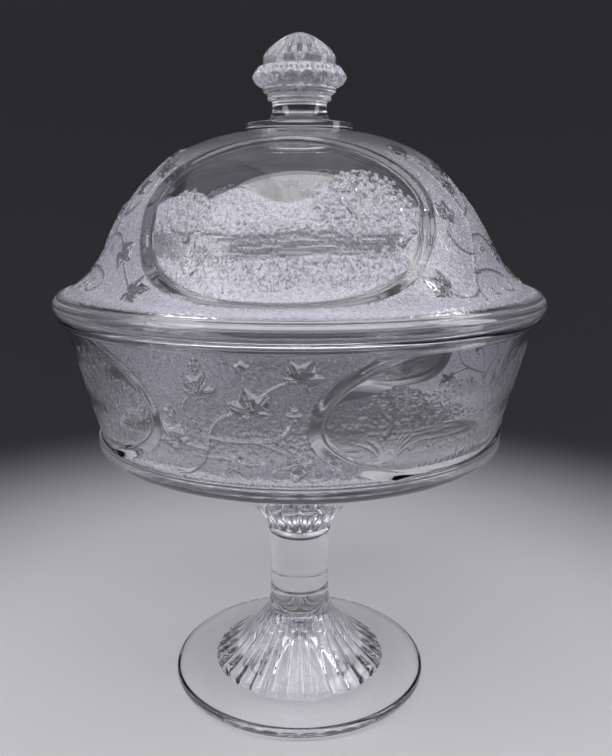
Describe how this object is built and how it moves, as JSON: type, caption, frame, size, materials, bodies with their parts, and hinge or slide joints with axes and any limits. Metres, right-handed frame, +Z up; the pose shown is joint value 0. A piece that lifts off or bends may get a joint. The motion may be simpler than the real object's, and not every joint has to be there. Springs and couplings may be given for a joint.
{
  "type": "covered compote",
  "caption": "Tall footed serving bowl in clear pressed glass with a loose domed cover and a ribbed knop, sunk picture panels, fluted collar and fluted foot.",
  "frame": {"origin": "centre of the foot's flat underside, on the surface that the compote stands on", "axes": "+Z up along the stem; -Y is the side that the picture shows, with +X to its right"},
  "size_m": [0.2102, 0.2102, 0.2904],
  "materials": {
    "clear_glass": "fire-polished clear soda glass",
    "pressed_glass": "clear pressed glass with a stippled ground and raised vines"
  },
  "bodies": {
    "base": {"pedestal": "clear_glass", "wafer": "clear_glass", "bowl": "pressed_glass"},
    "cover": {"cover": "pressed_glass", "finial": "clear_glass"}
  },
  "joints": [
    {"name": "cover_lift", "type": "slide", "parent": "base", "child": "cover", "axis": [0, 0, 1], "range_m": [0, 0.12]}
  ]
}
